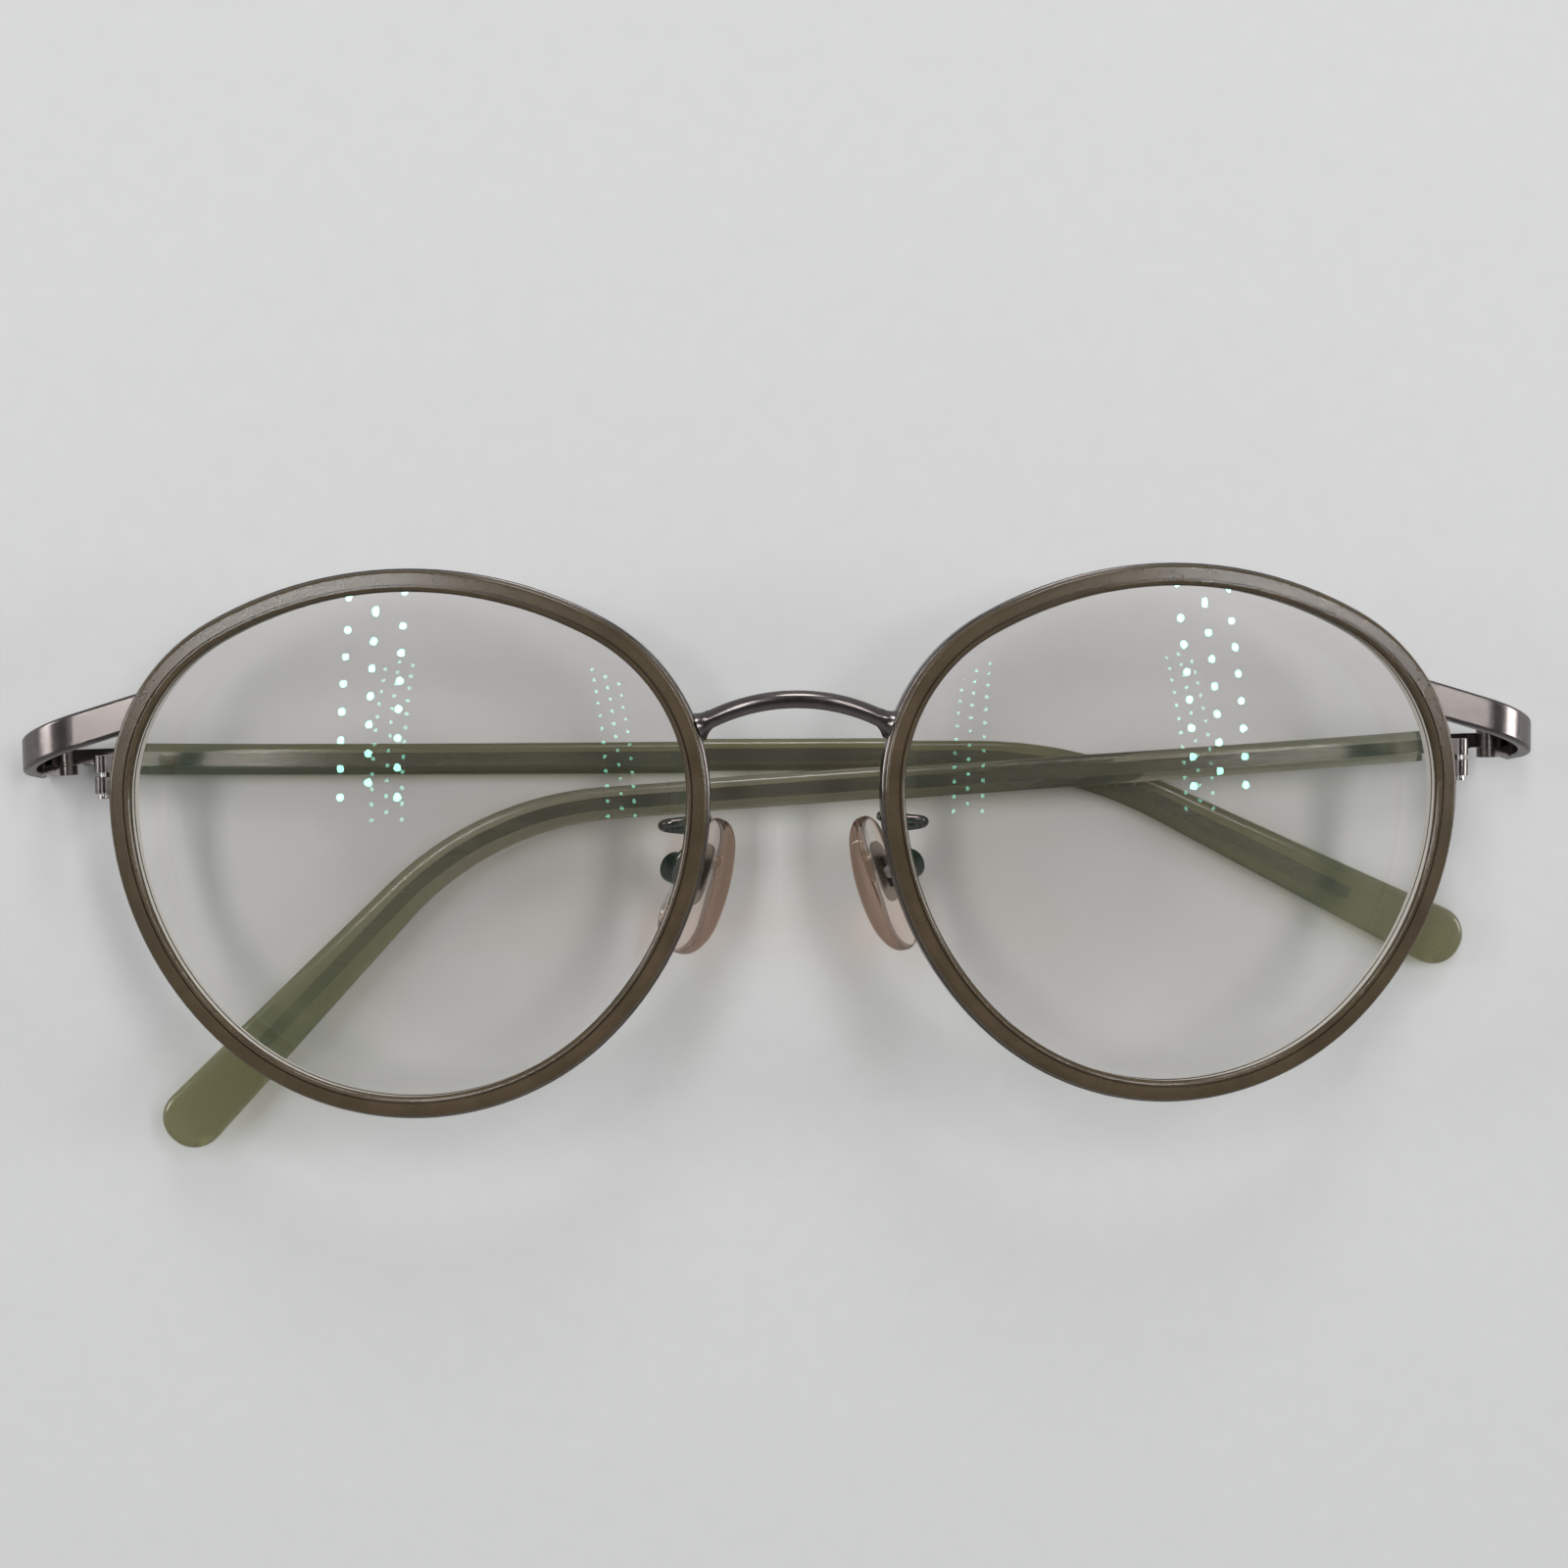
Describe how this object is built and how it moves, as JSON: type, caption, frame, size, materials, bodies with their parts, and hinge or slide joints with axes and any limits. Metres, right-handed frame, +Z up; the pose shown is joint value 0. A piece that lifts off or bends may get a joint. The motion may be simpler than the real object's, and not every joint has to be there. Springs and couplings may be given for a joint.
{
  "type": "folded round eyeglasses",
  "caption": "Round eyeglasses, folded and lying face up: metal eyewires, bridge and end pieces in translucent acetate rims, acetate temples on metal cores, soft nose pads.",
  "frame": {"origin": "on the surface the pair lies on, under the middle of the folded pair's outline", "axes": "+X along the front to the wearer's left, +Y towards the brow, +Z up out of the lenses as it lies"},
  "size_m": [0.142, 0.0538, 0.0165],
  "materials": {
    "lens": "clear, polished",
    "rim_acetate": "translucent olive brown, polished",
    "frame_metal": "polished gunmetal plating",
    "screw_metal": "bare steel",
    "temple_acetate": "translucent olive green, polished",
    "temple_core": "gunmetal plating",
    "nose_pad": "clear soft plastic, tinted warm",
    "pad_insert": "satin"
  },
  "bodies": {
    "front": {"bridge": "frame_metal", "left_lens": "lens", "right_lens": "lens", "left_rim_acetate": "rim_acetate", "right_rim_acetate": "rim_acetate", "left_eyewire": "frame_metal", "right_eyewire": "frame_metal", "left_closing_block_upper": "frame_metal", "right_closing_block_upper": "frame_metal", "left_closing_block_lower": "frame_metal", "right_closing_block_lower": "frame_metal", "left_closing_screw": "screw_metal", "right_closing_screw": "screw_metal", "left_end_piece": "frame_metal", "right_end_piece": "frame_metal", "left_front_hinge_leaf": "frame_metal", "right_front_hinge_leaf": "frame_metal", "left_hinge_screw": "screw_metal", "right_hinge_screw": "screw_metal", "left_pad_box": "frame_metal", "right_pad_box": "frame_metal", "left_pad_screw": "screw_metal", "right_pad_screw": "screw_metal", "left_pad_arm": "frame_metal", "right_pad_arm": "frame_metal"},
    "right_temple": {"right_temple_hinge_leaf": "frame_metal", "right_temple_core": "temple_core", "right_temple_sleeve": "temple_acetate"},
    "left_temple": {"left_temple_hinge_leaf": "frame_metal", "left_temple_core": "temple_core", "left_temple_sleeve": "temple_acetate"},
    "right_pad": {"right_nose_pad": "nose_pad", "right_pad_insert": "pad_insert"},
    "left_pad": {"left_nose_pad": "nose_pad", "left_pad_insert": "pad_insert"}
  },
  "joints": [
    {"name": "right_temple_hinge", "type": "hinge", "parent": "front", "child": "right_temple", "pos_m": [-0.06824, 0.01016, 0.0027], "axis": [-0.0236, 0.9997, 0], "range_deg": [0, 91]},
    {"name": "left_temple_hinge", "type": "hinge", "parent": "front", "child": "left_temple", "pos_m": [0.06824, 0.01016, 0.0052], "axis": [0.0236, -0.9997, 0], "range_deg": [0, 91]},
    {"name": "right_pad_rock", "type": "hinge", "parent": "front", "child": "right_pad", "pos_m": [-0.00977, -0.00117, 0.00645], "axis": [-0.4539, 0.171, -0.8745], "range_deg": [-6, 6]},
    {"name": "left_pad_rock", "type": "hinge", "parent": "front", "child": "left_pad", "pos_m": [0.00967, -0.00117, 0.0068], "axis": [0.4856, 0.171, -0.8573], "range_deg": [-6, 6]}
  ],
  "couplings": [
    {"joint": "left_temple_hinge", "follows": "right_temple_hinge", "ratio": 1}
  ]
}
